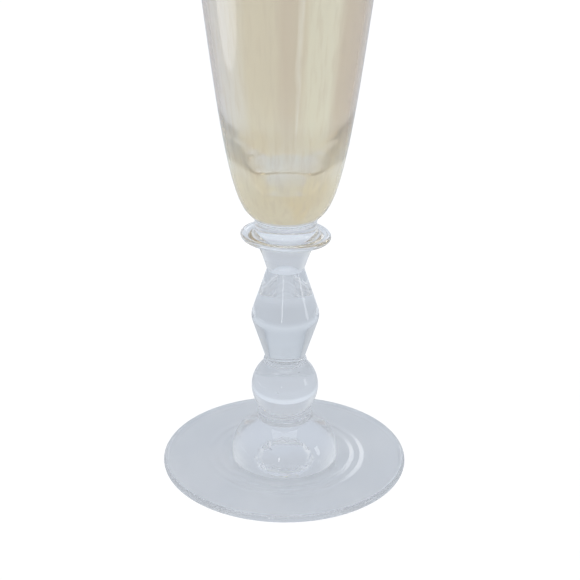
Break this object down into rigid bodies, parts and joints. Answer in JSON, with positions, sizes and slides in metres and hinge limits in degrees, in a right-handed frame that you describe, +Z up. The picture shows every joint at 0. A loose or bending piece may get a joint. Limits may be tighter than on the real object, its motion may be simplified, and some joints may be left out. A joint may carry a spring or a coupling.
{
  "type": "champagne flute",
  "caption": "Tall champagne flute of clear glass with an amber-lustred bowl, a knopped baluster stem with a wide collar, and a round domed foot.",
  "frame": {"origin": "centre of the foot's flat underside", "axes": "+Z up the stem through the middle of the bowl; the shape is a solid of revolution about Z"},
  "size_m": [0.076, 0.076, 0.23],
  "materials": {
    "clear_glass": "polished clear hand-made glass, very pale blue-grey",
    "lustred_glass": "polished glass with a thin amber lustre that drifts between gold, grey and pink"
  },
  "bodies": {
    "root": {"foot": "clear_glass", "foot_merese": "clear_glass", "ball_knop": "clear_glass", "knop_merese": "clear_glass", "bicone_knop": "clear_glass", "funnel_knop": "clear_glass", "collar": "clear_glass", "neck_merese": "clear_glass", "bowl": "lustred_glass"}
  },
  "joints": []
}
